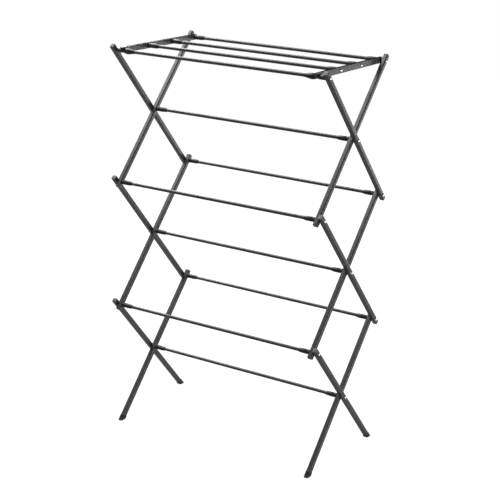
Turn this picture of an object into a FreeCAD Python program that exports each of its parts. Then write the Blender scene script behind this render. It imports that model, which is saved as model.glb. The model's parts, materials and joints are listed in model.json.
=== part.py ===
import FreeCAD, Part
import math
import os

from FreeCAD import Vector

# Folding clothes drying rack: two scissor lattices of square tube, joined by
# eleven round rods, with a small lift-up shelf of rods across the top.
#
# Millimetres and degrees. +X runs along the rods, -Y is the front, +Z is up.
# The origin is on the floor, in the middle of the footprint. The rack is
# modelled open. Outer arms run from the front at the top to the back at the
# bottom, inner arms the other way.

# ---- The lattice ----------------------------------------------------------
half_arm = 250.0            # crossing pivot to either end pivot of an arm
top_reach = 256.0           # highest crossing pivot to the pivots at the top
open_angle = 48.2           # slope of every arm above the floor
leg_reach = 248.0           # lowest crossing pivot to the floor, along a leg
side_spacing = 678.6        # between the middle planes of the outer arms

# ---- Arms -----------------------------------------------------------------
arm_size = 14.0             # across the flats of the square tube
arm_wall = 0.8
arm_corner = 3.0            # outside corner radius
arm_overhang = 16.0         # tube past its end pivot
plug_head = 2.2             # plug standing out of the tube's end
plug_insert = 10.0          # plug inside the tube
plug_edge = 1.1             # rounding of the plug's head

# ---- Feet -----------------------------------------------------------------
cap_wall = 1.2
cap_sole = 3.0
cap_height = 15.0           # along the leg, from the floor at its middle

# ---- Rods and what holds them ---------------------------------------------
rod_diameter = 9.5
rod_wall = 0.7
rod_grip = 12.0             # solid end of a sleeve, which the rivet is driven in
sleeve_length = 35.0
sleeve_diameter = 13.4
sleeve_lip = 0.5            # wall at the sleeve's thin end
sleeve_edge = 0.8           # bevel round the sleeve's thick end
sleeve_straight = 20.0      # full diameter before the taper
front_sleeve_diameter = 17.0
front_sleeve_swell = 10.0   # thick end to the fullest place
shank_diameter = 5.0
head_diameter = 9.6
head_height = 3.0
shelf_head_height = 2.2
washer_thickness = 0.6
washer_diameter = 12.0

# ---- Shelf ----------------------------------------------------------------
bar_width = 9.5
bar_height = 16.0
bar_wall = 1.2
bar_tail = 9.0              # bar past its hinge
hook_rise = 3.0             # bar's middle line above the rod that it rests on
hook_tongue = 26.0          # hook inside the bar
hook_nose = 9.0             # hook in front of the rod it rests on
hook_back = 12.0            # rod it rests on to the bar's end
hook_drop = 6.5             # back stop below the middle of that rod
hook_round = 3.5
neck_diameter = 11.0        # bush on the front rod that the hook rests on
spacer_diameter = 13.0

# ---- Clearances -----------------------------------------------------------
pivot_clearance = 0.08      # round a shank, on the radius
face_gap = 0.1              # between turning faces
sleeve_gap = 0.2            # sleeve to the arm beside it
rest_gap = 0.4              # hook to the bush that it rests on
side_gap = 0.3              # hook to what stands beside it
head_gap = 0.7              # shelf rivet head to the inner arm

# ---- Derived places -------------------------------------------------------
angle = math.radians(open_angle)
pivot_y = half_arm * math.cos(angle)
step_z = half_arm * math.sin(angle)
lower_cross_z = leg_reach * math.sin(angle)
lower_joint_z = lower_cross_z + step_z
middle_cross_z = lower_joint_z + step_z
upper_joint_z = middle_cross_z + step_z
upper_cross_z = upper_joint_z + step_z
top_y = top_reach * math.cos(angle)
top_z = upper_cross_z + top_reach * math.sin(angle)

outer_x = side_spacing / 2
outer_face = outer_x + arm_size / 2
washer_space = washer_thickness + 2 * face_gap
inner_x = outer_x - arm_size - washer_space
inner_outside = inner_x + arm_size / 2
inner_inside = inner_x - arm_size / 2
bar_outside = inner_inside - head_gap - shelf_head_height
bar_inside = bar_outside - bar_width
hole_radius = shank_diameter / 2 + pivot_clearance
sleeve_thin = rod_diameter + 2 * sleeve_lip

shelf_depth = 2 * top_y
shelf_tilt = math.asin(hook_rise / shelf_depth)
bar_reach = shelf_depth * math.cos(shelf_tilt)
rod_pitch = shelf_depth / 3


# ---- Basic shapes ---------------------------------------------------------
def cylinder(radius, start, end, y=0.0, z=0.0):
    """A cylinder along X between two places on X."""
    return Part.makeCylinder(radius, end - start, Vector(start, y, z), Vector(1, 0, 0))


def box(low, high):
    """A box between two opposite corners."""
    size = Vector(*high) - Vector(*low)
    return Part.makeBox(size.x, size.y, size.z, Vector(*low))


def square_bar(size, corner, start, end):
    """A square bar along Y, centred on the axis, with rounded long edges."""
    bar = box((-size / 2, start, -size / 2), (size / 2, end, size / 2))
    long_edges = [e for e in bar.Edges if abs(e.tangentAt(e.FirstParameter).y) > 0.9]
    return bar.makeFillet(corner, long_edges)


def turned(profile, start, direction):
    """A solid of revolution about X from (distance, radius) points.

    A point with a third value is the middle of an arc to the next point.
    """
    points = [Vector(start + direction * p[0], 0, p[1]) for p in profile]
    edges = []
    index = 0
    while index < len(points) - 1:
        if len(profile[index + 1]) == 3:
            arc = Part.Arc(points[index], points[index + 1], points[index + 2])
            edges.append(arc.toShape())
            index += 2
        else:
            edges.append(Part.makeLine(points[index], points[index + 1]))
            index += 1
    edges.append(Part.makeLine(points[-1], points[0]))
    face = Part.Face(Part.Wire(edges))
    solid = face.revolve(Vector(0, 0, 0), Vector(1, 0, 0), 360)
    if solid.Volume < 0:
        solid.reverse()
    return solid


def moved(shape, x, y, z):
    """A copy of a shape, shifted."""
    copy = shape.copy()
    copy.translate(Vector(x, y, z))
    return copy


def sloped(shape, turn, x, z):
    """A copy of a shape built along Y, turned about X and put on its crossing."""
    copy = shape.copy()
    copy.rotate(Vector(0, 0, 0), Vector(1, 0, 0), turn)
    copy.translate(Vector(x, 0, z))
    return copy


def both_sides(shape):
    """A right-hand piece and its left-hand mirror image."""
    return [shape, shape.mirror(Vector(0, 0, 0), Vector(1, 0, 0))]


def save(name, solids):
    """Write one node from one or more separate solids."""
    shape = solids[0] if len(solids) == 1 else Part.makeCompound(solids)
    shape.exportStep("parts/" + name + ".step")


# ---- Arms, plugs and feet -------------------------------------------------
def arm_tube(start, end, holes):
    """A square tube along Y with pivot holes at places along it."""
    inner = arm_size - 2 * arm_wall
    tube = square_bar(arm_size, arm_corner, start, end)
    tube = tube.cut(square_bar(inner, arm_corner - arm_wall, start - 1, end + 1))
    for place in holes:
        tube = tube.cut(cylinder(hole_radius, -arm_size, arm_size, place))
    return tube


def end_plug(side, reach):
    """A plug for the end of a tube whose last pivot is at side * reach."""
    end = reach + arm_overhang
    head = square_bar(arm_size, arm_corner, end, end + plug_head)
    rim = [e for e in head.Edges if e.CenterOfMass.y > end + plug_head - 0.01]
    head = head.makeFillet(plug_edge, rim)
    inner = arm_size - 2 * arm_wall
    insert = square_bar(inner, arm_corner - arm_wall, end - plug_insert, end)
    plug = head.fuse(insert)
    if side < 0:
        plug.rotate(Vector(0, 0, 0), Vector(1, 0, 0), 180)
    return plug


def above(shape, height):
    """The part of a shape that is above a level plane."""
    size = 4 * half_arm
    return shape.common(box((-size, -size, height), (size, size, height + 2 * size)))


def leg_tube(foot_side, turn, x):
    """A lowest arm, cut level so that it stands on the sole of its cap."""
    past_floor = leg_reach + 2 * arm_size
    ends = sorted([foot_side * past_floor, -foot_side * (half_arm + arm_overhang)])
    tube = arm_tube(ends[0], ends[1], [0.0, -foot_side * half_arm])
    return above(sloped(tube, turn, x, lower_cross_z), cap_sole)


def foot_cap(foot_side, turn, x):
    """A cap over a leg's end, level on the floor."""
    ends = sorted([foot_side * (leg_reach - cap_height), foot_side * (leg_reach + 2 * arm_size)])
    skirt = square_bar(arm_size + 2 * cap_wall, arm_corner + cap_wall, ends[0], ends[1])
    leg = square_bar(arm_size, arm_corner, ends[0] - 1, ends[1] + 1)
    skirt = above(sloped(skirt, turn, x, lower_cross_z), 0)
    return skirt.cut(above(sloped(leg, turn, x, lower_cross_z), cap_sole))


def make_arms():
    """Twelve arms in six pairs, with their plugs and the four feet."""
    layers = {"outer": (outer_x, -open_angle, 1), "inner": (inner_x, open_angle, -1)}
    levels = {"upper": (upper_cross_z, top_reach), "middle": (middle_cross_z, half_arm)}
    for layer, (x, turn, foot_side) in layers.items():
        for level, (height, reach_up) in levels.items():
            reaches = {foot_side: half_arm, -foot_side: reach_up}
            pivots = [side * reach for side, reach in reaches.items()]
            ends = sorted(side * (reach + arm_overhang) for side, reach in reaches.items())
            tube = sloped(arm_tube(ends[0], ends[1], [0.0] + pivots), turn, x, height)
            right, left = both_sides(tube)
            save(f"{level}_{layer}_arm_right", [right])
            save(f"{level}_{layer}_arm_left", [left])
            plugs = []
            for side, reach in reaches.items():
                plugs += both_sides(sloped(end_plug(side, reach), turn, x, height))
            save(f"{level}_{layer}_arm_plugs", plugs)
        right, left = both_sides(leg_tube(foot_side, turn, x))
        save(f"lower_{layer}_leg_right", [right])
        save(f"lower_{layer}_leg_left", [left])
        plug = sloped(end_plug(-foot_side, half_arm), turn, x, lower_cross_z)
        save(f"lower_{layer}_leg_plugs", both_sides(plug))
        foot = {"outer": "back", "inner": "front"}[layer]
        save(f"{foot}_foot_caps", both_sides(foot_cap(foot_side, turn, x)))


# ---- Rods, sleeves, rivets and washers ------------------------------------
def rod_tube(sleeve_start):
    """A round tube that ends inside the sleeves at its two ends."""
    end = sleeve_start - rod_grip
    bore = rod_diameter / 2 - rod_wall
    return cylinder(rod_diameter / 2, -end, end).cut(cylinder(bore, -end - 1, end + 1))


def sleeve(sleeve_start, diameter):
    """A tapered end sleeve: rivet bore in the thick end, rod socket in the thin."""
    radius = diameter / 2
    thin = sleeve_thin / 2
    shoulder = radius - (radius - thin) * 0.27
    middle = (sleeve_straight + sleeve_length) / 2
    profile = [
        (0, shank_diameter / 2),
        (0, radius - sleeve_edge),
        (sleeve_edge, radius),
        (sleeve_straight, radius),
        (middle, shoulder, "arc"),
        (sleeve_length, thin),
        (sleeve_length, rod_diameter / 2),
        (rod_grip, rod_diameter / 2),
        (rod_grip, shank_diameter / 2),
    ]
    return turned(profile, sleeve_start, -1)


def front_sleeve(sleeve_start):
    """The front top rod's sleeve, which swells and keeps the hook in its place."""
    radius = front_sleeve_diameter / 2
    belly = sleeve_length * 0.1
    profile = [
        (0, shank_diameter / 2),
        (0, neck_diameter / 2 + sleeve_edge),
        (front_sleeve_swell - belly, radius - sleeve_edge / 2),
        (front_sleeve_swell, radius, "arc"),
        (front_sleeve_swell + belly, radius - sleeve_edge / 2),
        (sleeve_length, sleeve_thin / 2),
        (sleeve_length, rod_diameter / 2),
        (rod_grip, rod_diameter / 2),
        (rod_grip, shank_diameter / 2),
    ]
    return turned(profile, sleeve_start, -1)


def rivet(seat, height, sleeve_start):
    """A domed rivet: its head on seat, its shank driven into the sleeve."""
    radius = head_diameter / 2
    rise = height * 0.7
    ball = (radius ** 2 + rise ** 2) / (2 * rise)
    half_way = height - ball + math.sqrt(ball ** 2 - (radius / 2) ** 2)
    tip = sleeve_start - rod_grip - seat
    profile = [
        (tip, 0),
        (tip, shank_diameter / 2),
        (0, shank_diameter / 2),
        (0, radius),
        (height - rise, radius),
        (half_way, radius / 2, "arc"),
        (height, 0),
    ]
    return turned(profile, seat, 1)


def washer():
    """The ring between an outer and an inner arm."""
    start = inner_outside + face_gap
    ring = cylinder(washer_diameter / 2, start, start + washer_thickness)
    return ring.cut(cylinder(shank_diameter / 2, start - 1, start + 2))


def save_rod(name, y, z, sleeve_start, seat, end_sleeve):
    """Write a rod, its two sleeves and its two rivets."""
    save(name + "_rod", [moved(rod_tube(sleeve_start), 0, y, z)])
    save(name + "_rod_sleeves", both_sides(moved(end_sleeve, 0, y, z)))
    rod_rivet = moved(rivet(seat, head_height, sleeve_start), 0, y, z)
    save(name + "_rod_rivets", both_sides(rod_rivet))


def make_lattice_rods():
    """Seven rods through both arms, the top front rod and the top back rod."""
    start = inner_inside - sleeve_gap
    through = {
        "upper_cross": (0.0, upper_cross_z, outer_face),
        "upper_front": (-pivot_y, upper_joint_z, outer_face),
        "upper_back": (pivot_y, upper_joint_z, outer_face),
        "middle_cross": (0.0, middle_cross_z, outer_face),
        "lower_front": (-pivot_y, lower_joint_z, outer_face),
        "lower_back": (pivot_y, lower_joint_z, outer_face),
        "lower_cross": (0.0, lower_cross_z, outer_face + face_gap),
    }
    for name, (y, z, seat) in through.items():
        save_rod(name, y, z, start, seat, sleeve(start, sleeve_diameter))

    start = bar_inside - side_gap
    save_rod("top_front", -top_y, top_z, start, outer_face, front_sleeve(start))
    start = bar_inside - sleeve_gap
    seat = inner_outside + face_gap
    save_rod("top_back", top_y, top_z, start, seat, sleeve(start, sleeve_diameter))


def make_washers():
    """Rings between the arms, grouped by the rods that carry them."""
    groups = {
        "upper_washers": [(0.0, upper_cross_z), (pivot_y, upper_joint_z)],
        "middle_washers": [
            (-pivot_y, upper_joint_z),
            (0.0, middle_cross_z),
            (pivot_y, lower_joint_z),
        ],
        "lower_front_washers": [(-pivot_y, lower_joint_z)],
        "lower_cross_washers": [(0.0, lower_cross_z)],
    }
    for name, places in groups.items():
        rings = []
        for y, z in places:
            rings += both_sides(moved(washer(), 0, y, z))
        save(name, rings)


# ---- Shelf ----------------------------------------------------------------
def on_hinge(shape):
    """A shelf piece built level from the hinge, tilted and put on the hinge."""
    copy = shape.copy()
    copy.rotate(Vector(0, 0, 0), Vector(1, 0, 0), -math.degrees(shelf_tilt))
    copy.translate(Vector(0, top_y, top_z))
    return copy


def rounded_on_x(shape, radius, corners):
    """Round the edges along X that pass through the given (y, z) corners."""
    edges = []
    for edge in shape.Edges:
        along_x = abs(edge.tangentAt(edge.FirstParameter).x) > 0.9
        middle = edge.CenterOfMass
        if along_x and any(math.hypot(middle.y - y, middle.z - z) < 0.01 for y, z in corners):
            edges.append(edge)
    return shape.makeFillet(radius, edges)


def shelf_bar():
    """A channel bar, open along the top, hinged at the back."""
    half = bar_height / 2
    front = -bar_reach + hook_back
    bar = box((bar_inside, front, -half), (bar_outside, bar_tail, half))
    bar = rounded_on_x(bar, half * 0.8, [(bar_tail, -half)])
    slot = box(
        (bar_inside + bar_wall, front - 1, -half + bar_wall),
        (bar_outside - bar_wall, bar_tail - bar_wall, half + 1),
    )
    slot = rounded_on_x(slot, half * 0.8 - bar_wall, [(bar_tail - bar_wall, -half + bar_wall)])
    bar = bar.cut(slot)
    for place in (0.0, -rod_pitch, -2 * rod_pitch):
        bar = bar.cut(cylinder(hole_radius, bar_inside - 1, bar_outside + 1, place))
    return on_hinge(bar)


def shelf_hook():
    """The moulded hook in a bar's front end, which rests on the front bush."""
    half = bar_height / 2
    rod_y = -bar_reach
    rod_z = -hook_rise
    front = rod_y - hook_nose
    back = rod_y + hook_back
    low = rod_z - hook_drop
    hook = box((bar_inside, front, low), (bar_outside, back, half))
    hook = rounded_on_x(hook, hook_round, [(front, half), (back, low)])
    seat = neck_diameter / 2 + rest_gap
    hook = hook.cut(cylinder(seat, bar_inside - 1, bar_outside + 1, rod_y, rod_z))
    hook = hook.cut(box(
        (bar_inside - 1, front - 1, low - 1),
        (bar_outside + 1, rod_y + seat, rod_z),
    ))
    hook = hook.cut(box(
        (bar_inside - 1, front - 1, rod_z - 1),
        (bar_outside + 1, rod_y, rod_z + seat),
    ))
    tongue = box(
        (bar_inside + bar_wall, back - 1, -half + bar_wall),
        (bar_outside - bar_wall, back + hook_tongue, half - bar_wall),
    )
    return on_hinge(hook.fuse(tongue).removeSplitter())


def make_shelf():
    """The two bars, their hooks, the two middle rods and the spacers."""
    right, left = both_sides(shelf_bar())
    save("shelf_bar_right", [right])
    save("shelf_bar_left", [left])
    save("shelf_hooks", both_sides(shelf_hook()))

    start = bar_inside
    sleeves = []
    rivets = []
    for name, place in {"second": -2 * rod_pitch, "third": -rod_pitch}.items():
        save("top_" + name + "_rod", [on_hinge(moved(rod_tube(start), 0, place, 0))])
        end_sleeve = sleeve(start, sleeve_diameter)
        sleeves += both_sides(on_hinge(moved(end_sleeve, 0, place, 0)))
        end_rivet = rivet(bar_outside, shelf_head_height, start)
        rivets += both_sides(on_hinge(moved(end_rivet, 0, place, 0)))
    save("shelf_rod_sleeves", sleeves)
    save("shelf_rod_rivets", rivets)


def make_spacers():
    """What fills the missing arm's place beside the front and back top rods."""
    bore = shank_diameter / 2
    sleeve_end = bar_inside - side_gap
    shoulder = bar_outside + side_gap
    front = cylinder(neck_diameter / 2, sleeve_end, shoulder)
    front = front.fuse(cylinder(spacer_diameter / 2, shoulder, outer_x - arm_size / 2))
    front = front.cut(cylinder(bore, sleeve_end - 1, outer_x)).removeSplitter()
    save("front_rod_spacers", both_sides(moved(front, 0, -top_y, top_z)))

    start = bar_outside + face_gap
    end = inner_inside - face_gap
    back = cylinder(washer_diameter / 2, start, end).cut(cylinder(bore, start - 1, end + 1))
    save("shelf_pivot_spacers", both_sides(moved(back, 0, top_y, top_z)))


os.makedirs("parts", exist_ok=True)
make_arms()
make_lattice_rods()
make_washers()
make_shelf()
make_spacers()
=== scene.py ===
import json
import math

import bmesh
import bpy
from bpy.props import FloatProperty, FloatVectorProperty, IntProperty, PointerProperty
from bpy.types import Operator, Panel, PropertyGroup
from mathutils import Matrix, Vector


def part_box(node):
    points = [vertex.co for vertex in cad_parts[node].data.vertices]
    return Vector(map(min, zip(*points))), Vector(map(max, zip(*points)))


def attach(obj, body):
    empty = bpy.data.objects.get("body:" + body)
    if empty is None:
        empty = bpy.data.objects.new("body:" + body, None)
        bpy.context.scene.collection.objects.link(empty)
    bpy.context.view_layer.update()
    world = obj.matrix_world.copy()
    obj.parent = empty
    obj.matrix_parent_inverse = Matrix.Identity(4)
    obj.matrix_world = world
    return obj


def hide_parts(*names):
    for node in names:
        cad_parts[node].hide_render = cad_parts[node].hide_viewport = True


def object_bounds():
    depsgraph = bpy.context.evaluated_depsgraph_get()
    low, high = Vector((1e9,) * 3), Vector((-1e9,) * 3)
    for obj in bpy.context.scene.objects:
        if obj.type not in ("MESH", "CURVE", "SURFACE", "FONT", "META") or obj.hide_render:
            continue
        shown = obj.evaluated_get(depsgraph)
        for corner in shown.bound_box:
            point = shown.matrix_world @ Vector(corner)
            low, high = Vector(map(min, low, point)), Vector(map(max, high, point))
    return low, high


# Folding clothes drying rack. The arms and legs are the frame's own nodes with a
# powder-coat finish, and the shelf bars and hooks are copies of their nodes with
# rounded edges. Every rod, sleeve, rivet, plug, foot cap, ring and spacer is made
# here around the places that the frame gives.

bl_info = {
    "name": "Folding drying rack",
    "version": (1, 0, 0),
    "blender": (4, 5, 0),
    "location": "View3D > Sidebar > Drying rack",
    "description": "Makes the moulded, turned and coated pieces of a folding drying rack",
    "category": "Object",
}

SAME_POINT = 1e-6  # points closer than this are merged
SAME_LEVEL = 1e-5  # points closer than this in height are level
SLEEVE_LIP = 0.0005  # a sleeve's wall at its thin end
SLEEVE_CHAMFER = 0.0004  # how far along the sleeve its thin end is chamfered
SEAM_SHARPNESS = 60.0  # how narrow a parting line is
FILM_WIDTH = 36  # mm

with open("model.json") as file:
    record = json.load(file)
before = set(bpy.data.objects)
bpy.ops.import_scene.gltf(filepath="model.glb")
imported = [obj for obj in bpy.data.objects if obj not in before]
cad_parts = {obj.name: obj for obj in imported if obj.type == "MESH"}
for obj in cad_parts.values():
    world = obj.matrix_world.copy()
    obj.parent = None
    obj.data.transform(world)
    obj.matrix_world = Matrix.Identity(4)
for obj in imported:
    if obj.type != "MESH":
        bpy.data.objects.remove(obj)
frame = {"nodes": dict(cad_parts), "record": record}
cad_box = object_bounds()


# ---- What a user would change ---------------------------------------------
def length(name, description, default):
    """A size in metres."""
    return FloatProperty(
        name=name, description=description, default=default, unit="LENGTH", precision=5
    )


def colour(name, description, default):
    """A colour as linear red, green and blue."""
    return FloatVectorProperty(
        name=name, description=description, default=default, subtype="COLOR", min=0, max=1
    )


def share(name, description, default):
    """A part of one."""
    return FloatProperty(
        name=name, description=description, default=default, min=0, max=1, subtype="FACTOR"
    )


class RackSizes(PropertyGroup):
    """Sizes of details that the frame leaves plain"""

    rod_wall: length("Rod wall", "Wall of the round rods", 0.0007)
    shank: length("Rivet shank", "Diameter of a rivet's shank", 0.005)
    grip: length("Sleeve grip", "Solid end of a sleeve", 0.012)
    sleeve_straight: length("Sleeve straight", "Sleeve before its taper", 0.020)
    sleeve_edge: length("Sleeve edge", "Rounding of a sleeve's thick end", 0.0009)
    groove_depth: length("Groove depth", "Depth of the moulded rings", 0.00028)
    groove_pitch: length("Groove pitch", "Distance between the moulded rings", 0.0022)
    seam_height: length("Parting line", "Height of the mould's parting line", 0.00012)
    front_swell: length("Front swell", "Fullest place of the front top sleeve", 0.010)
    neck: length("Hook neck", "Diameter of the neck that a hook rests on", 0.011)
    arm_wall: length("Arm wall", "Wall of the square tubes", 0.0008)
    arm_corner: length("Arm corner", "Outside corner of the square tubes", 0.003)
    plug_head: length("Plug head", "Plug standing out of the tube's end", 0.0022)
    plug_insert: length("Plug insert", "Plug inside the tube", 0.010)
    gate: length("Gate mark", "Diameter of the mark in a plug's middle", 0.0020)
    cap_sole: length("Cap sole", "Thickness under the leg", 0.003)
    cap_lip: length("Cap lip", "Height of the thicker lip round a foot cap", 0.0028)
    hook_edge: length("Hook edge", "Rounding of the hook's edges", 0.0007)
    bar_edge: length("Bar edge", "Rounding of the shelf bar's edges", 0.00035)
    segments: IntProperty(
        name="Segments", description="Faces round a turned piece", default=40, min=12
    )


class RackFinish(PropertyGroup):
    """Colours and gloss of the rack's finishes"""

    arm: colour("Arm coating", "Powder coat of the arms", (0.052, 0.051, 0.060))
    bar: colour("Bar coating", "Powder coat of the shelf bars", (0.052, 0.052, 0.060))
    rod: colour("Rod coating", "Powder coat of the rods", (0.050, 0.050, 0.056))
    black: colour("Black plastic", "Sleeves and hooks", (0.022, 0.022, 0.025))
    plug: colour("Plug plastic", "End plugs", (0.115, 0.115, 0.122))
    foot: colour("Foot plastic", "Foot caps", (0.020, 0.020, 0.023))
    steel: colour("Bright steel", "Rivets", (0.86, 0.86, 0.87))
    nylon: colour("Nylon", "Rings between the arms", (0.045, 0.045, 0.046))
    dust: colour("Dust", "What settles on upward faces", (0.42, 0.40, 0.37))
    coat_gloss: share("Coat roughness", "Roughness of the powder coat", 0.36)
    moulded_gloss: share("Plastic roughness", "Roughness of the plastic", 0.36)
    peel: length("Orange peel", "Size of the coat's ripples", 0.0013)
    grain: length("Moulded grain", "Size of the plastic's grain", 0.0004)


class RackStudio(PropertyGroup):
    """The camera, floor and lights"""

    azimuth: FloatProperty(
        name="Azimuth",
        description="Turn of the camera round the rack",
        default=math.radians(31.95),
        subtype="ANGLE",
    )
    elevation: FloatProperty(
        name="Elevation",
        description="Height of the camera above level",
        default=math.radians(17.53),
        subtype="ANGLE",
    )
    roll: FloatProperty(
        name="Roll", description="Lean of the camera", default=math.radians(1.54), subtype="ANGLE"
    )
    distance: length("Distance", "Camera to its aim", 3.833)
    lens: FloatProperty(
        name="Focal length",
        description="Focal length of the camera",
        default=95.84,
        unit="CAMERA",
    )
    aim: FloatVectorProperty(
        name="Aim",
        description="Aim of the camera from the middle of the rack",
        default=(0.0118, 0.0037, -0.0098),
        subtype="TRANSLATION",
    )
    floor_size: length("Floor size", "Width of the floor", 60.0)
    floor_colour: colour("Floor colour", "Colour of the floor", (0.92, 0.92, 0.92))
    floor_white: FloatProperty(
        name="Floor white", description="How bright the floor looks", default=1.17, min=0
    )
    shadow: share("Floor shadow", "How much of the floor's own shading shows", 0.15)
    bounce: share("Floor bounce", "How much light the floor sends back", 0.38)
    surround: share("Surround", "Brightness of the room round the rack", 0.18)


def sizes():
    return bpy.context.scene.rack_sizes


def finish():
    return bpy.context.scene.rack_finish


# ---- Places from the frame ------------------------------------------------
THROUGH_RODS = [
    "upper_cross", "upper_front", "upper_back", "middle_cross",
    "lower_front", "lower_back", "lower_cross",
]
SHELF_RODS = ["top_second", "top_third"]
BODIES = frame["record"]["behaviour"]["bodies"]


def body_of(node):
    """The moving body that a node belongs to."""
    for body, members in BODIES.items():
        if node in members:
            return body
    raise RuntimeError("no body holds " + node)


def by_body(nodes):
    """Nodes grouped by the body that they belong to."""
    groups = {}
    for node in nodes:
        groups.setdefault(body_of(node), []).append(node)
    return groups


def right_half(node):
    """The points of a node's right-hand side."""
    return [v.co.copy() for v in frame["nodes"][node].data.vertices if v.co.x > 0]


def corners(points):
    """Lowest and highest corners of some points."""
    low = Vector([min(p[axis] for p in points) for axis in range(3)])
    high = Vector([max(p[axis] for p in points) for axis in range(3)])
    return low, high


def rod_middle(name):
    """The middle of a rod."""
    low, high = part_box(name + "_rod")
    return (low + high) / 2


def rod_radius():
    """Outside radius of every rod."""
    low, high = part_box("upper_cross_rod")
    return (high.z - low.z) / 2


def arm_size():
    """Width of every square tube."""
    low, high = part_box("upper_outer_arm_right")
    return high.x - low.x


def radius_round(name, node):
    """Radius of a turned node's pieces round a rod."""
    return max(p.z for p in right_half(node)) - rod_middle(name).z


def widest_start(points):
    """How near the rack's middle a turned piece has its full radius."""
    top = max(p.z for p in points)
    return min(p.x for p in points if p.z > top - SAME_LEVEL)


def slope():
    """The angle of every arm above the floor."""
    run = rod_middle("upper_back") - rod_middle("upper_cross")
    return math.atan2(-run.z, run.y)


def arm_direction(layer):
    """The way along an arm towards the back."""
    sign = {"outer": -1, "inner": 1}[layer]
    return Vector((0, math.cos(slope()), sign * math.sin(slope())))


# ---- Meshes ---------------------------------------------------------------
def add_object(name, data):
    """A new object in the scene that holds some data."""
    item = bpy.data.objects.new(name, data)
    bpy.context.scene.collection.objects.link(item)
    return item


def rounded(points, steps=4):
    """An outline of (x, radius, rounding) points with its corners rounded."""
    line = []
    for index, point in enumerate(points):
        here = Vector(point[:2])
        rounding = point[2] if len(point) > 2 else 0
        if not rounding:
            line.append(here)
            continue
        before = Vector(points[index - 1][:2]) - here
        after = Vector(points[(index + 1) % len(points)][:2]) - here
        start = here + before.normalized() * rounding
        end = here + after.normalized() * rounding
        for step in range(steps + 1):
            t = step / steps
            line.append(start * (1 - t) ** 2 + here * 2 * t * (1 - t) + end * t ** 2)
    return line


def closed(line):
    """An outline whose last point is its first one again."""
    return line + [line[0]]


def square_ring(size, corner, steps=5):
    """Points (x, z) round a square with rounded corners."""
    reach = size / 2 - corner
    ring = []
    for quarter, (x, z) in enumerate([(1, 1), (-1, 1), (-1, -1), (1, -1)]):
        for step in range(steps + 1):
            angle = (quarter + step / steps) * math.pi / 2
            ring.append((
                x * reach + corner * math.cos(angle),
                z * reach + corner * math.sin(angle),
            ))
    return ring


def skin(build, rings):
    """Add a closed skin through rings of points, fanned shut at both ends."""
    rows = [[build.verts.new(point) for point in ring] for ring in rings]
    count = len(rings[0])
    for first, second in zip(rows, rows[1:]):
        for index in range(count):
            after = (index + 1) % count
            build.faces.new((first[index], first[after], second[after], second[index]))
    for row in (rows[0], rows[-1]):
        middle = build.verts.new(sum((v.co for v in row), Vector()) / count)
        for index in range(count):
            build.faces.new((row[index], row[(index + 1) % count], middle))


def mesh_from(build, name):
    """A mesh from a build, with its faces pointing outwards."""
    bmesh.ops.remove_doubles(build, verts=build.verts, dist=SAME_POINT)
    bmesh.ops.recalc_face_normals(build, faces=build.faces)
    mesh = bpy.data.meshes.new(name)
    build.to_mesh(mesh)
    build.free()
    return mesh


def smooth_shaded(mesh):
    """Shade a mesh smooth up to its sharp edges."""
    mesh.shade_smooth()
    mesh.set_sharp_from_angle(angle=math.radians(38))


def put(name, mesh, finish_name, nodes):
    """Show a mesh as the piece that stands for some nodes of one body."""
    piece = add_object(name, mesh)
    mesh.materials.clear()
    mesh.materials.append(FINISHES[finish_name]())
    if not mesh.has_custom_normals:
        smooth_shaded(mesh)
    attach(piece, body_of(nodes[0]))
    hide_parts(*nodes)


def evaluated_mesh(carrier):
    """The plain mesh that a carrier's modifiers make; the carrier is removed."""
    bpy.context.view_layer.update()
    result = carrier.evaluated_get(bpy.context.evaluated_depsgraph_get())
    mesh = bpy.data.meshes.new_from_object(result)
    carrier.modifiers.clear()
    bpy.data.objects.remove(carrier)
    return mesh


def softened(node, edge, segments=2):
    """A merged copy of a node's mesh with rounded edges and evenly shaded flats."""
    build = bmesh.new()
    build.from_mesh(frame["nodes"][node].data)
    bmesh.ops.remove_doubles(build, verts=build.verts, dist=SAME_POINT)
    bmesh.ops.dissolve_limit(
        build, angle_limit=math.radians(0.5), verts=build.verts, edges=build.edges
    )
    mesh = bpy.data.meshes.new(node)
    build.to_mesh(mesh)
    build.free()
    carrier = add_object(node, mesh)
    bevel = carrier.modifiers.new("Edges", "BEVEL")
    bevel.width = edge
    bevel.segments = segments
    bevel.limit_method = "ANGLE"
    bevel.angle_limit = math.radians(40)
    bevel.use_clamp_overlap = True
    mesh = evaluated_mesh(carrier)
    smooth_shaded(mesh)
    carrier = add_object(node, mesh)
    level = carrier.modifiers.new("Flat faces", "WEIGHTED_NORMAL")
    level.weight = 100
    level.keep_sharp = True
    return evaluated_mesh(carrier)


# ---- Node trees -----------------------------------------------------------
def add(tree, kind, inputs=None, **settings):
    """Add a node, with its inputs linked or set."""
    node = tree.nodes.new(kind)
    node.location = (190 * len(tree.nodes), 0)
    for name, value in settings.items():
        setattr(node, name, value)
    for name, value in (inputs or {}).items():
        if isinstance(value, bpy.types.NodeSocket):
            tree.links.new(value, node.inputs[name])
        else:
            node.inputs[name].default_value = value
    return node


def calculate(tree, operation, *values):
    """A math node's result."""
    node = add(tree, "ShaderNodeMath", operation=operation)
    for index, value in enumerate(values):
        if isinstance(value, bpy.types.NodeSocket):
            tree.links.new(value, node.inputs[index])
        else:
            node.inputs[index].default_value = value
    return node.outputs[0]


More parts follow.
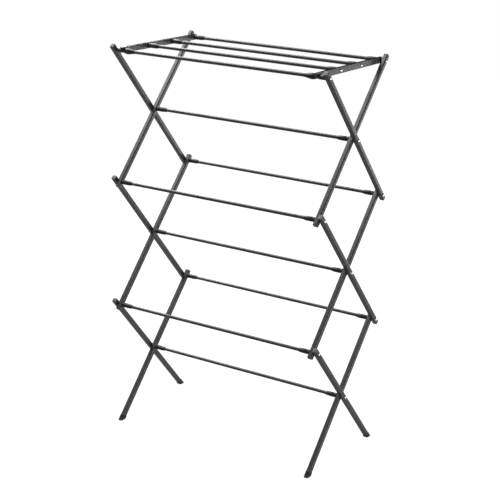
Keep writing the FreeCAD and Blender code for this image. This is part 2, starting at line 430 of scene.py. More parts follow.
def new_tree(name, kind, inputs, outputs):
    """A node tree with named inputs and outputs, and its two end nodes."""
    tree = bpy.data.node_groups.new(name, kind)
    for socket, (socket_kind, default) in inputs.items():
        item = tree.interface.new_socket(socket, in_out="INPUT", socket_type=socket_kind)
        if default is not None:
            item.default_value = default
    for socket, socket_kind in outputs.items():
        tree.interface.new_socket(socket, in_out="OUTPUT", socket_type=socket_kind)
    start = add(tree, "NodeGroupInput")
    end = add(tree, "NodeGroupOutput")
    return tree, start.outputs, end.inputs


def join(tree, output, target):
    tree.links.new(output, target)


def turned_tree():
    """Geometry nodes that turn an outline about X and repeat it at places.

    The outline is an object whose points are (distance, radius, ridge): the
    ridge is how much of the parting line shows there.
    """
    name = "Turned pieces"
    if name in bpy.data.node_groups:
        return bpy.data.node_groups[name]
    tree, given, result = new_tree(name, "GeometryNodeTree", {
        "Places": ("NodeSocketGeometry", None),
        "Outline": ("NodeSocketObject", None),
        "Segments": ("NodeSocketInt", 40),
        "Ridge": ("NodeSocketFloat", 0.0),
        "Finish": ("NodeSocketMaterial", None),
    }, {"Pieces": "NodeSocketGeometry"})

    outline = add(tree, "GeometryNodeObjectInfo", {"Object": given["Outline"]})
    outline = outline.outputs["Geometry"]
    count = add(tree, "GeometryNodeAttributeDomainSize", {"Geometry": outline})
    columns = calculate(tree, "ADD", given["Segments"], 1)
    grid = add(tree, "GeometryNodeMeshGrid", {
        "Vertices X": count.outputs["Point Count"],
        "Vertices Y": columns,
    })

    index = add(tree, "GeometryNodeInputIndex").outputs[0]
    middle = calculate(tree, "ADD", index, 0.5)
    row = calculate(tree, "FLOOR", calculate(tree, "DIVIDE", middle, columns))
    column = calculate(tree, "SUBTRACT", index, calculate(tree, "MULTIPLY", row, columns))
    position = add(tree, "GeometryNodeInputPosition").outputs[0]
    sample = add(tree, "GeometryNodeSampleIndex", data_type="FLOAT_VECTOR")
    join(tree, outline, sample.inputs["Geometry"])
    join(tree, position, sample.inputs["Value"])
    join(tree, row, sample.inputs["Index"])
    point = add(tree, "ShaderNodeSeparateXYZ", {"Vector": sample.outputs["Value"]}).outputs

    turn = calculate(tree, "DIVIDE", column, given["Segments"])
    angle = calculate(tree, "MULTIPLY", turn, math.tau)
    across = calculate(tree, "COSINE", angle)
    seam = calculate(tree, "POWER", calculate(tree, "ABSOLUTE", across), SEAM_SHARPNESS)
    seam = calculate(tree, "MULTIPLY", seam, point["Z"])
    seam = calculate(tree, "MULTIPLY", seam, given["Ridge"])
    radius = calculate(tree, "ADD", point["Y"], seam)
    place = add(tree, "ShaderNodeCombineXYZ", {
        "X": point["X"],
        "Y": calculate(tree, "MULTIPLY", radius, across),
        "Z": calculate(tree, "MULTIPLY", radius, calculate(tree, "SINE", angle)),
    })
    bent = add(tree, "GeometryNodeSetPosition", {
        "Geometry": grid.outputs["Mesh"],
        "Position": place.outputs[0],
    })
    sealed = add(tree, "GeometryNodeMergeByDistance", {
        "Geometry": bent.outputs[0],
        "Distance": SAME_POINT,
    })
    join(tree, repeated(tree, given, sealed.outputs[0]), result["Pieces"])
    return tree


def repeated(tree, given, piece):
    """Nodes that put a piece at each place, turned as the place says."""
    turn = add(tree, "GeometryNodeInputNamedAttribute", {"Name": "turn"}, data_type="FLOAT_VECTOR")
    rotation = add(tree, "FunctionNodeEulerToRotation", {"Euler": turn.outputs["Attribute"]})
    copies = add(tree, "GeometryNodeInstanceOnPoints", {
        "Points": given["Places"],
        "Instance": piece,
        "Rotation": rotation.outputs[0],
    })
    real = add(tree, "GeometryNodeRealizeInstances", {"Geometry": copies.outputs[0]})
    finished = add(tree, "GeometryNodeSetMaterial", {
        "Geometry": real.outputs[0],
        "Material": given["Finish"],
    })
    return finished.outputs[0]


def moulded_tree():
    """Geometry nodes that repeat a moulded piece at places."""
    name = "Moulded pieces"
    if name in bpy.data.node_groups:
        return bpy.data.node_groups[name]
    tree, given, result = new_tree(name, "GeometryNodeTree", {
        "Places": ("NodeSocketGeometry", None),
        "Piece": ("NodeSocketObject", None),
        "Finish": ("NodeSocketMaterial", None),
    }, {"Pieces": "NodeSocketGeometry"})
    piece = add(tree, "GeometryNodeObjectInfo", {"Object": given["Piece"]})
    join(tree, repeated(tree, given, piece.outputs["Geometry"]), result["Pieces"])
    return tree


def run_tree(tree, places, values):
    """The mesh that a tree makes at (point, turn) places."""
    mesh = bpy.data.meshes.new("places")
    mesh.from_pydata([point for point, turn in places], [], [])
    turns = mesh.attributes.new("turn", "FLOAT_VECTOR", "POINT")
    turns.data.foreach_set("vector", [value for point, turn in places for value in turn])
    carrier = add_object("places", mesh)
    modifier = carrier.modifiers.new(tree.name, "NODES")
    modifier.node_group = tree
    for item in tree.interface.items_tree:
        if item.in_out == "INPUT" and item.name in values:
            modifier[item.identifier] = values[item.name]
    return evaluated_mesh(carrier)


def turned_pieces(line, places, material, ridge=0.0, ridge_points=()):
    """The mesh of an outline turned about X and repeated at places."""
    mesh = bpy.data.meshes.new("outline")
    points = [(p.x, p.y, 1.0 if index in ridge_points else 0.0) for index, p in enumerate(line)]
    mesh.from_pydata(points, [], [])
    outline = add_object("outline", mesh)
    result = run_tree(turned_tree(), places, {
        "Outline": outline,
        "Segments": sizes().segments,
        "Ridge": ridge,
        "Finish": material,
    })
    bpy.data.objects.remove(outline)
    return result


def ends_of(names, reach):
    """Places on both ends of some rods, each turned outwards."""
    places = []
    for name in names:
        point = rod_middle(name)
        places.append((Vector((reach, point.y, point.z)), (0, 0, 0)))
        places.append((Vector((-reach, point.y, point.z)), (0, 0, math.pi)))
    return places


# ---- Shader groups --------------------------------------------------------
def shader_group(name, inputs, outputs):
    """A new shader group with plain number inputs and number outputs."""
    return new_tree(
        name,
        "ShaderNodeTree",
        {key: ("NodeSocketFloat", value) for key, value in inputs.items()},
        {key: "NodeSocketFloat" for key in outputs},
    )


def noise(tree, scale, detail=2.0, vector=None):
    """Noise in the object's own metres."""
    if vector is None:
        vector = add(tree, "ShaderNodeTexCoord").outputs["Object"]
    node = add(tree, "ShaderNodeTexNoise", {"Vector": vector, "Scale": scale, "Detail": detail})
    return node.outputs["Fac"]


def ramp(tree, value, low, high):
    """A value spread from 0 at low to 1 at high, with soft ends."""
    node = add(tree, "ShaderNodeMapRange", {
        "Value": value,
        "From Min": low,
        "From Max": high,
    }, interpolation_type="SMOOTHSTEP")
    return node.outputs["Result"]


def surface_texture():
    """Fine ripples and broad shading of a sprayed or moulded surface."""
    name = "Surface texture"
    if name in bpy.data.node_groups:
        return bpy.data.node_groups[name]
    tree, given, result = shader_group(name, {"Ripple Size": 0.001, "Patch Size": 0.06}, [
        "Height", "Shade",
    ])
    ripple = noise(tree, calculate(tree, "DIVIDE", 1.0, given["Ripple Size"]), detail=3.0)
    patch = noise(tree, calculate(tree, "DIVIDE", 1.0, given["Patch Size"]), detail=4.0)
    join(tree, ripple, result["Height"])
    join(tree, ramp(tree, patch, 0.3, 0.7), result["Shade"])
    return tree


def corner_rub():
    """Where a coat is thin and rubbed on corners that run across X."""
    name = "Corner rub"
    if name in bpy.data.node_groups:
        return bpy.data.node_groups[name]
    tree, given, result = shader_group(name, {"Amount": 0.5, "Patch Size": 0.02}, ["Mask"])
    normal = add(tree, "ShaderNodeTexCoord").outputs["Normal"]
    across = add(tree, "ShaderNodeSeparateXYZ", {"Vector": normal}).outputs["X"]
    square = calculate(tree, "MULTIPLY", across, across)
    corner = calculate(tree, "MULTIPLY", square, calculate(tree, "SUBTRACT", 1.0, square))
    corner = calculate(tree, "MULTIPLY", corner, 4.0)
    patch = noise(tree, calculate(tree, "DIVIDE", 1.0, given["Patch Size"]), detail=5.0)
    worn = calculate(tree, "MULTIPLY", corner, ramp(tree, patch, 0.42, 0.68))
    join(tree, calculate(tree, "MULTIPLY", worn, given["Amount"]), result["Mask"])
    return tree


def scuffs():
    """Faint rubs from hangers, cloth and hands."""
    name = "Scuffs"
    if name in bpy.data.node_groups:
        return bpy.data.node_groups[name]
    tree, given, result = shader_group(name, {"Amount": 0.5, "Size": 0.004}, ["Mask"])
    coordinate = add(tree, "ShaderNodeTexCoord").outputs["Object"]
    stretch = (0.35, 1.0, 1.0)
    stretched = add(tree, "ShaderNodeMapping", {"Vector": coordinate, "Scale": stretch})
    fine = noise(tree, calculate(tree, "DIVIDE", 1.0, given["Size"]), 6.0, stretched.outputs[0])
    broad = noise(tree, calculate(tree, "DIVIDE", 0.1, given["Size"]), 2.0, stretched.outputs[0])
    marks = calculate(tree, "MULTIPLY", ramp(tree, fine, 0.58, 0.72), ramp(tree, broad, 0.5, 0.7))
    join(tree, calculate(tree, "MULTIPLY", marks, given["Amount"]), result["Mask"])
    return tree


def settled_dust():
    """Dust on faces that look up."""
    name = "Settled dust"
    if name in bpy.data.node_groups:
        return bpy.data.node_groups[name]
    tree, given, result = shader_group(name, {"Amount": 0.1}, ["Mask"])
    normal = add(tree, "ShaderNodeTexCoord").outputs["Normal"]
    upward = add(tree, "ShaderNodeSeparateXYZ", {"Vector": normal}).outputs["Z"]
    specks = noise(tree, 120.0, detail=3.0)
    cover = calculate(tree, "MULTIPLY", ramp(tree, upward, 0.2, 1.0), ramp(tree, specks, 0.3, 0.75))
    join(tree, calculate(tree, "MULTIPLY", cover, given["Amount"]), result["Mask"])
    return tree


def place_group(tree, group, values):
    """Place a shader group in a material with its own values."""
    node = add(tree, "ShaderNodeGroup", node_tree=group)
    for name, value in values.items():
        node.inputs[name].default_value = value
    return node.outputs


def blend(tree, mask, first, second):
    """One colour over another by a mask; a colour is a socket or (r, g, b)."""
    node = add(tree, "ShaderNodeMix", data_type="RGBA")
    colour_inputs = [socket for socket in node.inputs if socket.type == "RGBA"]
    join(tree, mask, node.inputs[0])
    for socket, value in zip(colour_inputs, (first, second)):
        if isinstance(value, bpy.types.NodeSocket):
            join(tree, value, socket)
        else:
            socket.default_value = (*value, 1.0)
    return [socket for socket in node.outputs if socket.type == "RGBA"][0]


def scaled(tint, amount):
    """A colour made lighter or darker."""
    return tuple(min(1.0, value * amount) for value in tint)


def new_material(name):
    """A material with an empty Principled shader, and its node tree."""
    material = bpy.data.materials.new(name)
    material.use_nodes = True
    tree = material.node_tree
    tree.nodes.clear()
    shader = add(tree, "ShaderNodeBsdfPrincipled")
    output = add(tree, "ShaderNodeOutputMaterial")
    join(tree, shader.outputs[0], output.inputs["Surface"])
    return material, tree, shader


def sprayed(name, tint, rubbed, dust, coat):
    """Satin powder coat: ripples, uneven depth, rubbed corners and dust."""
    if name in bpy.data.materials:
        return bpy.data.materials[name]
    look = finish()
    material, tree, shader = new_material(name)
    texture = place_group(tree, surface_texture(), {"Ripple Size": look.peel, "Patch Size": 0.07})
    corner = place_group(tree, corner_rub(), {"Amount": rubbed, "Patch Size": 0.018})
    rub = place_group(tree, scuffs(), {"Amount": 0.25, "Size": 0.005})
    grime = place_group(tree, settled_dust(), {"Amount": dust})
    base = blend(tree, texture["Shade"], scaled(tint, 0.90), scaled(tint, 1.12))
    base = blend(tree, corner["Mask"], base, scaled(tint, 2.2))
    base = blend(tree, rub["Mask"], base, scaled(tint, 1.5))
    join(tree, blend(tree, grime["Mask"], base, tuple(look.dust)), shader.inputs["Base Color"])
    rough = calculate(tree, "MULTIPLY_ADD", texture["Shade"], 0.07, look.coat_gloss)
    rough = calculate(tree, "MULTIPLY_ADD", rub["Mask"], 0.1, rough)
    rough = calculate(tree, "MULTIPLY_ADD", grime["Mask"], 0.5, rough)
    join(tree, rough, shader.inputs["Roughness"])
    bump = add(tree, "ShaderNodeBump", {
        "Strength": 0.1,
        "Distance": look.peel * 0.004,
        "Height": texture["Height"],
    })
    join(tree, bump.outputs[0], shader.inputs["Normal"])
    shader.inputs["Coat Weight"].default_value = coat
    shader.inputs["Coat Roughness"].default_value = 0.22
    shader.inputs["IOR"].default_value = 1.5
    return material


def moulded(name, tint, rubbed, dust, rougher=0.0):
    """Moulded plastic: fine spark grain, cloudy shading, rubbed edges."""
    if name in bpy.data.materials:
        return bpy.data.materials[name]
    look = finish()
    roughness = look.moulded_gloss + rougher
    material, tree, shader = new_material(name)
    texture = place_group(tree, surface_texture(), {"Ripple Size": look.grain, "Patch Size": 0.02})
    corner = place_group(tree, corner_rub(), {"Amount": rubbed, "Patch Size": 0.006})
    grime = place_group(tree, settled_dust(), {"Amount": dust})
    base = blend(tree, texture["Shade"], scaled(tint, 0.85), scaled(tint, 1.2))
    base = blend(tree, corner["Mask"], base, scaled(tint, 2.5))
    join(tree, blend(tree, grime["Mask"], base, tuple(look.dust)), shader.inputs["Base Color"])
    rough = calculate(tree, "MULTIPLY_ADD", texture["Height"], 0.16, roughness - 0.08)
    rough = calculate(tree, "MULTIPLY_ADD", corner["Mask"], -0.1, rough)
    join(tree, rough, shader.inputs["Roughness"])
    bump = add(tree, "ShaderNodeBump", {
        "Strength": 0.25,
        "Distance": look.grain * 0.015,
        "Height": texture["Height"],
    })
    join(tree, bump.outputs[0], shader.inputs["Normal"])
    shader.inputs["IOR"].default_value = 1.49
    return material


def arm_coating():
    return sprayed("gunmetal powder coat", finish().arm, rubbed=0.5, dust=0.02, coat=0.25)


def bar_coating():
    name = "gunmetal powder coat on bars"
    return sprayed(name, finish().bar, rubbed=0.4, dust=0.02, coat=0.25)


def rod_coating():
    return sprayed("black powder coat on rods", finish().rod, rubbed=0.0, dust=0.02, coat=0.5)


def black_plastic():
    return moulded("black moulded plastic", finish().black, rubbed=0.35, dust=0.05)


def plug_plastic():
    return moulded("grey moulded plastic", finish().plug, rubbed=0.4, dust=0.08)


def foot_plastic():
    return moulded("soft black plastic", finish().foot, rubbed=0.5, dust=0.1, rougher=0.1)


def nylon():
    return moulded("smooth nylon", finish().nylon, rubbed=0.2, dust=0.0, rougher=-0.05)


def bright_steel():
    """Plated steel with faint tumbling marks."""
    name = "plated steel"
    if name in bpy.data.materials:
        return bpy.data.materials[name]
    material, tree, shader = new_material(name)
    texture = place_group(tree, surface_texture(), {"Ripple Size": 0.0008, "Patch Size": 0.004})
    rub = place_group(tree, scuffs(), {"Amount": 0.8, "Size": 0.001})
    tint = tuple(finish().steel)
    base = blend(tree, texture["Shade"], scaled(tint, 0.9), tint)
    join(tree, blend(tree, rub["Mask"], base, scaled(tint, 0.75)), shader.inputs["Base Color"])
    rough = calculate(tree, "MULTIPLY_ADD", texture["Shade"], 0.08, 0.2)
    rough = calculate(tree, "MULTIPLY_ADD", rub["Mask"], 0.2, rough)
    join(tree, rough, shader.inputs["Roughness"])
    bump = add(tree, "ShaderNodeBump", {
        "Strength": 0.3,
        "Distance": 0.00002,
        "Height": texture["Height"],
    })
    join(tree, bump.outputs[0], shader.inputs["Normal"])
    shader.inputs["Metallic"].default_value = 1.0
    return material


FINISHES = {
    "arm_coating": arm_coating,
    "bar_coating": bar_coating,
    "rod_coating": rod_coating,
    "black_plastic": black_plastic,
    "plug_plastic": plug_plastic,
    "foot_plastic": foot_plastic,
    "nylon": nylon,
    "bright_steel": bright_steel,
}


# ---- Coated frame pieces --------------------------------------------------
class RACK_OT_arms(Operator):
    """Coat the square tubes of the arms and legs"""

    bl_idname = "rack.arms"
    bl_label = "Arms and legs"

    def execute(self, context):
        names = [n for n in frame["nodes"] if n.endswith(("_right", "_left")) and "bar" not in n]
        if not names:
            raise RuntimeError("the frame has no arms")
        for name in names:
            for slot in frame["nodes"][name].material_slots:
                slot.material = arm_coating()
        return {"FINISHED"}


class RACK_OT_shelf_bars(Operator):
    """Make the two channel bars of the shelf, with rolled edges"""

    bl_idname = "rack.shelf_bars"
    bl_label = "Shelf bars"

    def execute(self, context):
        for node in ("shelf_bar_right", "shelf_bar_left"):
            put(node + "_rolled", softened(node, sizes().bar_edge), "bar_coating", [node])
        return {"FINISHED"}


# ---- Rods and what holds them ---------------------------------------------
class RACK_OT_rods(Operator):
    """Make the round hanging rods"""

    bl_idname = "rack.rods"
    bl_label = "Rods"

    def execute(self, context):
        radius = rod_radius()
        bore = radius - sizes().rod_wall
        edge = sizes().rod_wall * 0.4
        names = THROUGH_RODS + ["top_front", "top_back"] + SHELF_RODS
        for body, nodes in by_body([name + "_rod" for name in names]).items():
            groups = {}
            for node in nodes:
                groups.setdefault(round(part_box(node)[1].x, 5), []).append(node)
            for end, members in groups.items():
                line = closed(rounded([
                    (end, bore, edge),
                    (end, radius, edge),
                    (-end, radius, edge),
                    (-end, bore, edge),
                ]))
                rods = [node.removesuffix("_rod") for node in members]
                places = [(rod_middle(rod), (0, 0, 0)) for rod in rods]
                mesh = turned_pieces(line, places, rod_coating())
                title = "rods_on_" + body if len(groups) == 1 else members[0] + "_tube"
                put(title, mesh, "rod_coating", members)
        return {"FINISHED"}


def rods_under(kind, names):
    """The rods that each node of sleeves or rivets sits on."""
    rods = {f"{name}_rod_{kind}": [name] for name in names}
    rods["shelf_rod_" + kind] = SHELF_RODS
    return rods


def sleeve_mouth(reach):
    """The end of a sleeve's outline: its thin end, and back along its bore."""
    return [
        Vector((-reach, rod_radius() + SLEEVE_LIP - SLEEVE_CHAMFER * 0.75)),
        Vector((-reach, rod_radius())),
        Vector((-sizes().grip, rod_radius())),
    ]


def sleeve_outline(reach, radius):
    """Outline of a sleeve, its thick end at 0 and its thin end at -reach.

    The second result is the points that the parting line runs over.
    """
    size = sizes()
    thin = rod_radius() + SLEEVE_LIP
    shank = size.shank / 2
    groove = size.groove_pitch * 0.55
    rings = 3
    ring_steps = 4
    line = rounded([
        (-size.grip, shank),
        (0, shank),
        (0, radius, size.sleeve_edge),
        (-size.groove_pitch, radius),
    ])
    for ring in range(rings):
        start = -size.groove_pitch * (ring + 1)
        for step in range(ring_steps + 1):
            t = step / ring_steps
            dip = size.groove_depth * math.sin(t * math.pi)
            line.append(Vector((start - t * groove, radius - dip)))
    steps = 12
    for step in range(steps + 1):
        t = step / steps
        place = size.sleeve_straight + (reach - size.sleeve_straight) * t
        line.append(Vector((-place, thin + (radius - thin) * (1 - t ** 2))))
    line[-1] = Vector((-reach + SLEEVE_CHAMFER, thin))
    first_outside = 3
    return closed(line + sleeve_mouth(reach)), range(first_outside, len(line))


class RACK_OT_sleeves(Operator):
    """Make the moulded sleeves on the rods' ends"""

    bl_idname = "rack.sleeves"
    bl_label = "Rod sleeves"

    def execute(self, context):
        low, high = corners(right_half("upper_cross_rod_sleeves"))
        reach = high.x - low.x
        radius = (high.z - low.z) / 2
        line, ridge = sleeve_outline(reach, radius)
        rods = rods_under("sleeves", THROUGH_RODS + ["top_back"])
        for body, nodes in by_body(rods).items():
            places = []
            for node in nodes:
                places += ends_of(rods[node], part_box(node)[1].x)
            mesh = turned_pieces(line, places, black_plastic(), sizes().seam_height, ridge)
            put("rod_sleeves_on_" + body, mesh, "black_plastic", nodes)
        return {"FINISHED"}


class RACK_OT_front_sleeves(Operator):
    """Make the two full sleeves that keep the hooks in place"""

    bl_idname = "rack.front_sleeves"
    bl_label = "Front top sleeves"

    def execute(self, context):
        node = "top_front_rod_sleeves"
        low, high = corners(right_half(node))
        reach = high.x - low.x
        radius = (high.z - low.z) / 2
        size = sizes()
        thin = rod_radius() + SLEEVE_LIP
        shank = size.shank / 2
        start_radius = size.neck / 2 + 0.0008
        start = 0.0012
        line = rounded([
            (-size.grip, shank),
            (0, shank),
            (0, start_radius, start / 2),
            (-start, start_radius + start / 3),
        ])
        first = len(line) - 1
        steps = 24
        for step in range(1, steps + 1):
            t = step / steps
            place = start + (reach - start - SLEEVE_CHAMFER) * t
            if place < size.front_swell:
                rise = math.sin(place / size.front_swell * math.pi / 2) ** 1.3
                level = start_radius + (radius - start_radius) * rise
            else:
                fall = (place - size.front_swell) / (reach - size.front_swell)
                level = thin + (radius - thin) * (0.5 + 0.5 * math.cos(fall * math.pi)) ** 0.9
            line.append(Vector((-place, level)))
        ridge = range(first, len(line))
        line = closed(line + sleeve_mouth(reach))
        places = ends_of(["top_front"], high.x)
        mesh = turned_pieces(line, places, black_plastic(), size.seam_height, ridge)
        put("front_top_sleeves", mesh, "black_plastic", [node])
        return {"FINISHED"}


def rivet_outline(radius, height, tip):
    """Outline of a domed rivet with a rolled rim, its head's seat at 0."""
    rim = height * 0.3
    rise = height - rim
    ball = (radius ** 2 + rise ** 2) / (2 * rise)
    shank = sizes().shank / 2
    line = []
    steps = 10
    widest = math.asin(radius * 0.96 / ball)
    for step in range(steps + 1):
        angle = widest * step / steps
        line.append(Vector((height - ball + ball * math.cos(angle), ball * math.sin(angle))))
    line += [
        Vector((rim * 0.9, radius * 0.995)),
        Vector((rim * 0.5, radius)),
        Vector((rim * 0.15, radius * 0.985)),
        Vector((0, radius * 0.95)),
        Vector((0, shank)),
        Vector((-tip, shank)),
        Vector((-tip, 0)),
    ]
    return line


class RACK_OT_rivets(Operator):
    """Make the plated rivets that hold the arms to the rods"""

    bl_idname = "rack.rivets"
    bl_label = "Rivets"

    def execute(self, context):
        rods = rods_under("rivets", THROUGH_RODS + ["top_front", "top_back"])
        radius = radius_round("upper_cross", "upper_cross_rod_rivets")
        for node, names in rods.items():
            points = right_half(node)
            low, high = corners(points)
            seat = widest_start(points)
            line = rivet_outline(radius, high.x - seat, seat - low.x)
            mesh = turned_pieces(line, ends_of(names, seat), bright_steel())
            put(node + "_domed", mesh, "bright_steel", [node])
        return {"FINISHED"}


# ---- Rings and spacers ----------------------------------------------------
def ring_outline(reach, radius, bore, edge):
    """Outline of a ring from 0 to reach along the rod."""
    return closed(rounded([
        (0, bore, edge / 2),
        (reach, bore, edge / 2),
        (reach, radius, edge),
        (0, radius, edge),
    ], 2))


class RACK_OT_rings(Operator):
    """Make the rings between the arms and the spacers beside the shelf"""

    bl_idname = "rack.rings"
    bl_label = "Rings and spacers"

    def execute(self, context):
        bore = sizes().shank / 2
        carriers = {
            "upper_washers": ["upper_cross", "upper_back"],
            "middle_washers": ["upper_front", "middle_cross", "lower_back"],
            "lower_front_washers": ["lower_front"],
            "lower_cross_washers": ["lower_cross"],
            "shelf_pivot_spacers": ["top_back"],
        }
        radius = radius_round("lower_cross", "lower_cross_washers")
        for node, names in carriers.items():
            low, high = corners(right_half(node))
            reach = high.x - low.x
            line = ring_outline(reach, radius, bore, reach * 0.25)
            mesh = turned_pieces(line, ends_of(names, low.x), nylon())
            put(node + "_turned", mesh, "nylon", [node])
        return {"FINISHED"}


class RACK_OT_front_spacers(Operator):
    """Make the coated spacers, each with the neck that a hook rests on"""

    bl_idname = "rack.front_spacers"
    bl_label = "Front spacers"

    def execute(self, context):
        node = "front_rod_spacers"
        points = right_half(node)
        low, high = corners(points)
        radius = (high.z - low.z) / 2
        neck = sizes().neck / 2
        bore = sizes().shank / 2
        shoulder = widest_start(points) - low.x
        reach = high.x - low.x
        edge, soft = 0.0007, 0.0002
        groove, bottom = shoulder + 0.002, radius - 0.0004
        width, flank = 0.002, 0.0006
        line = closed(rounded([
            (0, bore),
            (reach, bore),
            (reach, radius, edge),
            (groove + width, radius, soft),
            (groove + width - flank, bottom, soft),
            (groove + flank, bottom, soft),
            (groove, radius, soft),
            (shoulder, radius, edge),
            (shoulder, neck, 0.0003),
            (0, neck, 0.0003),
        ], 3))
        mesh = turned_pieces(line, ends_of(["top_front"], low.x), arm_coating())
        put("front_spacers_turned", mesh, "arm_coating", [node])
        return {"FINISHED"}


# ---- Plugs, feet and hooks ------------------------------------------------
def plug_mesh():
    """A plug whose head is a soft square cushion with a gate mark.

    A level is its width, its corner and how far it stands out of the tube.
    """
    size = sizes()
    across = arm_size()
    inner = across - 2 * size.arm_wall
    head = size.plug_head
    corner = size.arm_corner
    lead = 0.0012
    build = bmesh.new()
    levels = [
        (inner - lead, corner - lead, -size.plug_insert),
        (inner, corner - size.arm_wall, -size.plug_insert + lead),
        (inner, corner - size.arm_wall, 0.0),
        (across - 0.0006, corner - 0.0003, 0.0),
        (across, corner, 0.0003),
        (across, corner, head * 0.45),
        (across - 0.0004, corner - 0.0002, head * 0.64),
        (across - 0.0012, corner - 0.0004, head * 0.80),
        (across - 0.0026, corner - 0.0008, head * 0.90),
        (across - 0.0050, corner - 0.0010, head * 0.96),
        (across * 0.40, across * 0.17, head),
        (size.gate * 1.15, size.gate * 0.57, head),
        (size.gate, size.gate * 0.4999, head - 0.0002),
    ]
    rings = []
    for width, rounding, level in levels:
        rings.append([(x, level, z) for x, z in square_ring(width, rounding)])
    skin(build, rings)
    return mesh_from(build, "plug")


class RACK_OT_plugs(Operator):
    """Make the cushion-headed plugs in the arms' ends"""

    bl_idname = "rack.plugs"
    bl_label = "End plugs"

    def execute(self, context):
        pattern = add_object("plug", plug_mesh())
        for level in ("upper", "middle", "lower"):
            crossing = rod_middle(level + "_cross")
            for layer in ("outer", "inner"):
                kind = "leg" if level == "lower" else "arm"
                node = f"{level}_{layer}_{kind}_plugs"
                points = right_half(node)
                low, high = corners(points)
                across = (low.x + high.x) / 2
                places = []
                for side in (1, -1):
                    way = arm_direction(layer) * side
                    end = max((p - crossing).dot(way) for p in points) - sizes().plug_head
                    if end < 0:
                        continue
                    turn = (math.atan2(way.z, way.y), 0, 0)
                    for x in (across, -across):
                        point = crossing + way * end
                        places.append((Vector((x, point.y, point.z)), turn))
                values = {"Piece": pattern, "Finish": plug_plastic()}
                mesh = run_tree(moulded_tree(), places, values)
                put(node + "_moulded", mesh, "plug_plastic", [node])
        bpy.data.objects.remove(pattern)
        return {"FINISHED"}


def cap_rings(crossing, way, across, outside, inside, top, floor_gap):
    """Rings of one foot cap, from inside its mouth, over the lip to the sole."""
    size = sizes()
    side = Vector((0, -way.z, way.y))
    lip = 0.0004

    def ring(width, corner, along=None, level=None):
        points = []
        for x, z in square_ring(width, corner):
            point = Vector((across + x, crossing.y, crossing.z)) + side * z
            if along is not None:
                points.append(point + way * along)
            else:
                points.append(point + way * ((level - point.z) / way.z))
        return points

    corner = size.arm_corner + (outside - inside) / 2
    body = outside - 2 * lip
    return [
        ring(inside, size.arm_corner, level=size.cap_sole),
        ring(inside, size.arm_corner, along=top + 0.0006),
        ring(inside + 0.0006, size.arm_corner, along=top + 0.0001),
        ring(inside + 0.0014, size.arm_corner, along=top),
        ring(outside - 0.0005, corner, along=top + 0.0002),
        ring(outside, corner, along=top + 0.0007),
        ring(outside, corner, along=top + size.cap_lip),
        ring(body, corner - lip, along=top + size.cap_lip + 0.0007),
        ring(body, corner - lip, level=floor_gap + 0.0022),
        ring(body + 0.0004, corner - lip, level=floor_gap + 0.0014),
        ring(body - 0.0002, corner - lip, level=floor_gap + 0.0006),
        ring(body - 0.0012, corner - lip, level=floor_gap + 0.0001),
        ring(body - 0.0024, corner - lip, level=floor_gap),
        ring(body - 0.0040, corner - 0.001, level=floor_gap),
        ring(body - 0.0048, corner - 0.0014, level=floor_gap + 0.0006),
    ]


class RACK_OT_foot_caps(Operator):
    """Make the moulded caps that the legs stand on"""

    bl_idname = "rack.foot_caps"
    bl_label = "Foot caps"

    def execute(self, context):
        crossing = rod_middle("lower_cross")
        for node, layer, side in (("back_foot_caps", "outer", 1), ("front_foot_caps", "inner", -1)):
            points = right_half(node)
            low, high = corners(points)
            way = arm_direction(layer) * side
            top = min((p - crossing).dot(way) for p in points)
            build = bmesh.new()
            for x in (low.x + high.x, -low.x - high.x):
                rings = cap_rings(crossing, way, x / 2, high.x - low.x, arm_size(), top, low.z)
                skin(build, rings)
            put(node + "_moulded", mesh_from(build, node), "foot_plastic", [node])
        return {"FINISHED"}


class RACK_OT_hooks(Operator):
    """Make the moulded hooks at the front of the shelf"""

    bl_idname = "rack.hooks"
    bl_label = "Shelf hooks"

    def execute(self, context):
        node = "shelf_hooks"
        mesh = softened(node, sizes().hook_edge, segments=3)
        put("shelf_hooks_moulded", mesh, "black_plastic", [node])
        return {"FINISHED"}


# ---- Stage ----------------------------------------------------------------
def camera_axes(studio):
    """The camera's right, up and back directions."""
    turn, lift = studio.azimuth, studio.elevation
    back = Vector((
        math.sin(turn) * math.cos(lift),
        -math.cos(turn) * math.cos(lift),
        math.sin(lift),
    ))
    level = Vector((math.cos(turn), math.sin(turn), 0))
    upright = back.cross(level)
    right = level * math.cos(studio.roll) + upright * math.sin(studio.roll)
    return right, back.cross(right), back


def soft_light(name, place, aim, width, height, power):
    """A large soft light at a place, turned to its aim."""
    lamp = bpy.data.lights.new(name, "AREA")
    lamp.shape = "RECTANGLE"
    lamp.size = width
    lamp.size_y = height
    lamp.energy = power
    light = add_object(name, lamp)
    light.location = place
    way = Vector(aim) - Vector(place)
    light.rotation_euler = way.to_track_quat("-Z", "Y").to_euler()
    light.visible_camera = False


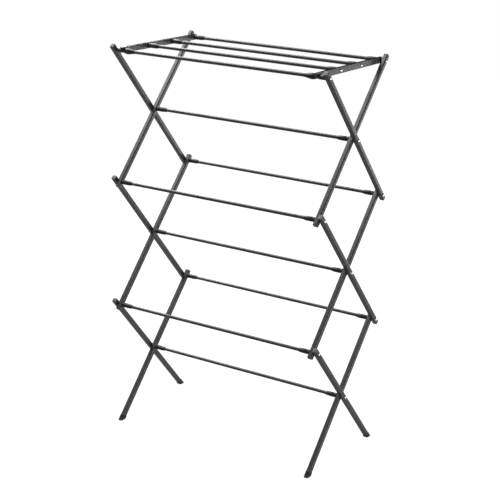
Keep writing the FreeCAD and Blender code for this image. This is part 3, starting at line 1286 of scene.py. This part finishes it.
class RACK_OT_stage(Operator):
    """Make the floor, the soft studio lights and the camera"""

    bl_idname = "rack.stage"
    bl_label = "Stage"

    def execute(self, context):
        scene = context.scene
        studio = scene.rack_studio
        low, high = cad_box
        centre = (Vector(low) + Vector(high)) / 2
        self.make_camera(scene, studio, centre)
        self.make_floor(studio)
        self.make_world(scene, studio)
        above = (-1.7, 0.3, high[2] + 2.2)
        right_leg = (0.3, 0, 0.2)
        soft_light("top light", above, centre, width=2.8, height=2.2, power=105)
        soft_light("back light", (0.7, 2.6, 0.4), centre, width=1.4, height=1.0, power=16)
        soft_light("right light", (2.6, 0.3, 0.2), right_leg, width=2.4, height=0.6, power=36)
        soft_light("left light", (-2.6, 1.7, 1.9), centre, width=2.0, height=1.5, power=60)
        scene.view_settings.view_transform = "Standard"
        return {"FINISHED"}

    def make_camera(self, scene, studio, centre):
        right, up, back = camera_axes(studio)
        data = bpy.data.cameras.new("camera")
        data.lens = studio.lens
        data.sensor_width = FILM_WIDTH
        data.clip_end = 100
        camera = add_object("camera", data)
        place = centre + Vector(studio.aim) + back * studio.distance
        for row in range(3):
            for column, vector in enumerate((right, up, back, place)):
                camera.matrix_world[row][column] = vector[row]
        scene.camera = camera

    def make_floor(self, studio):
        reach = studio.floor_size / 2
        mesh = bpy.data.meshes.new("floor")
        mesh.from_pydata(
            [(-reach, -reach, 0), (reach, -reach, 0), (reach, reach, 0), (-reach, reach, 0)],
            [],
            [(0, 1, 2, 3)],
        )
        floor = add_object("floor", mesh)
        material, tree, shader = new_material("pale floor")
        cloud = noise(tree, 0.6)
        tint = tuple(studio.floor_colour)
        join(tree, blend(tree, cloud, tint, scaled(tint, 1.01)), shader.inputs["Base Color"])
        shader.inputs["Roughness"].default_value = 0.9
        white = add(tree, "ShaderNodeEmission", {"Strength": studio.floor_white})
        seen = add(tree, "ShaderNodeMixShader", {0: studio.shadow})
        join(tree, white.outputs[0], seen.inputs[1])
        join(tree, shader.outputs[0], seen.inputs[2])
        dim = add(tree, "ShaderNodeBsdfDiffuse", {"Color": (*[studio.bounce] * 3, 1.0)})
        self.split_by_camera(tree, dim.outputs[0], seen.outputs[0], "ShaderNodeOutputMaterial")
        mesh.materials.append(material)

    def make_world(self, scene, studio):
        world = bpy.data.worlds.new("studio")
        scene.world = world
        world.use_nodes = True
        tree = world.node_tree
        tree.nodes.clear()
        add(tree, "ShaderNodeOutputWorld")
        white = add(tree, "ShaderNodeBackground", {"Color": (1, 1, 1, 1), "Strength": 1.0})
        room = add(tree, "ShaderNodeBackground", {
            "Color": (1, 1, 1, 1),
            "Strength": studio.surround,
        })
        self.split_by_camera(tree, room.outputs[0], white.outputs[0], "ShaderNodeOutputWorld")

    def split_by_camera(self, tree, lighting, seen, output_kind):
        """Show one shader to the eye, and light the rack with another."""
        path = add(tree, "ShaderNodeLightPath")
        both = add(tree, "ShaderNodeMixShader", {0: path.outputs["Is Camera Ray"]})
        join(tree, lighting, both.inputs[1])
        join(tree, seen, both.inputs[2])
        output = [node for node in tree.nodes if node.bl_idname == output_kind][0]
        join(tree, both.outputs[0], output.inputs["Surface"])


# ---- Panel and registration -----------------------------------------------
PIECE_OPERATORS = [
    RACK_OT_arms,
    RACK_OT_shelf_bars,
    RACK_OT_rods,
    RACK_OT_sleeves,
    RACK_OT_front_sleeves,
    RACK_OT_rivets,
    RACK_OT_rings,
    RACK_OT_front_spacers,
    RACK_OT_plugs,
    RACK_OT_foot_caps,
    RACK_OT_hooks,
]
PROPERTY_GROUPS = {"rack_sizes": RackSizes, "rack_finish": RackFinish, "rack_studio": RackStudio}


class RACK_PT_panel(Panel):
    """Lists the rack's pieces and its stage"""

    bl_idname = "RACK_PT_panel"
    bl_label = "Drying rack"
    bl_space_type = "VIEW_3D"
    bl_region_type = "UI"
    bl_category = "Drying rack"

    def draw(self, context):
        for operator in [RACK_OT_stage] + PIECE_OPERATORS:
            self.layout.operator(operator.bl_idname)
        for name, group in PROPERTY_GROUPS.items():
            box = self.layout.box()
            box.label(text=group.__doc__)
            for key in group.__annotations__:
                box.prop(getattr(context.scene, name), key)


CLASSES = [*PROPERTY_GROUPS.values(), RACK_OT_stage, *PIECE_OPERATORS, RACK_PT_panel]


def register():
    for each in CLASSES:
        bpy.utils.register_class(each)
    for name, group in PROPERTY_GROUPS.items():
        setattr(bpy.types.Scene, name, PointerProperty(type=group))


def unregister():
    for name in PROPERTY_GROUPS:
        delattr(bpy.types.Scene, name)
    for each in reversed(CLASSES):
        bpy.utils.unregister_class(each)


def main():
    register()
    bpy.ops.rack.stage()
    bpy.ops.rack.arms()
    bpy.ops.rack.shelf_bars()
    bpy.ops.rack.rods()
    bpy.ops.rack.sleeves()
    bpy.ops.rack.front_sleeves()
    bpy.ops.rack.rivets()
    bpy.ops.rack.rings()
    bpy.ops.rack.front_spacers()
    bpy.ops.rack.plugs()
    bpy.ops.rack.foot_caps()
    bpy.ops.rack.hooks()


if __name__ == "__main__":
    main()
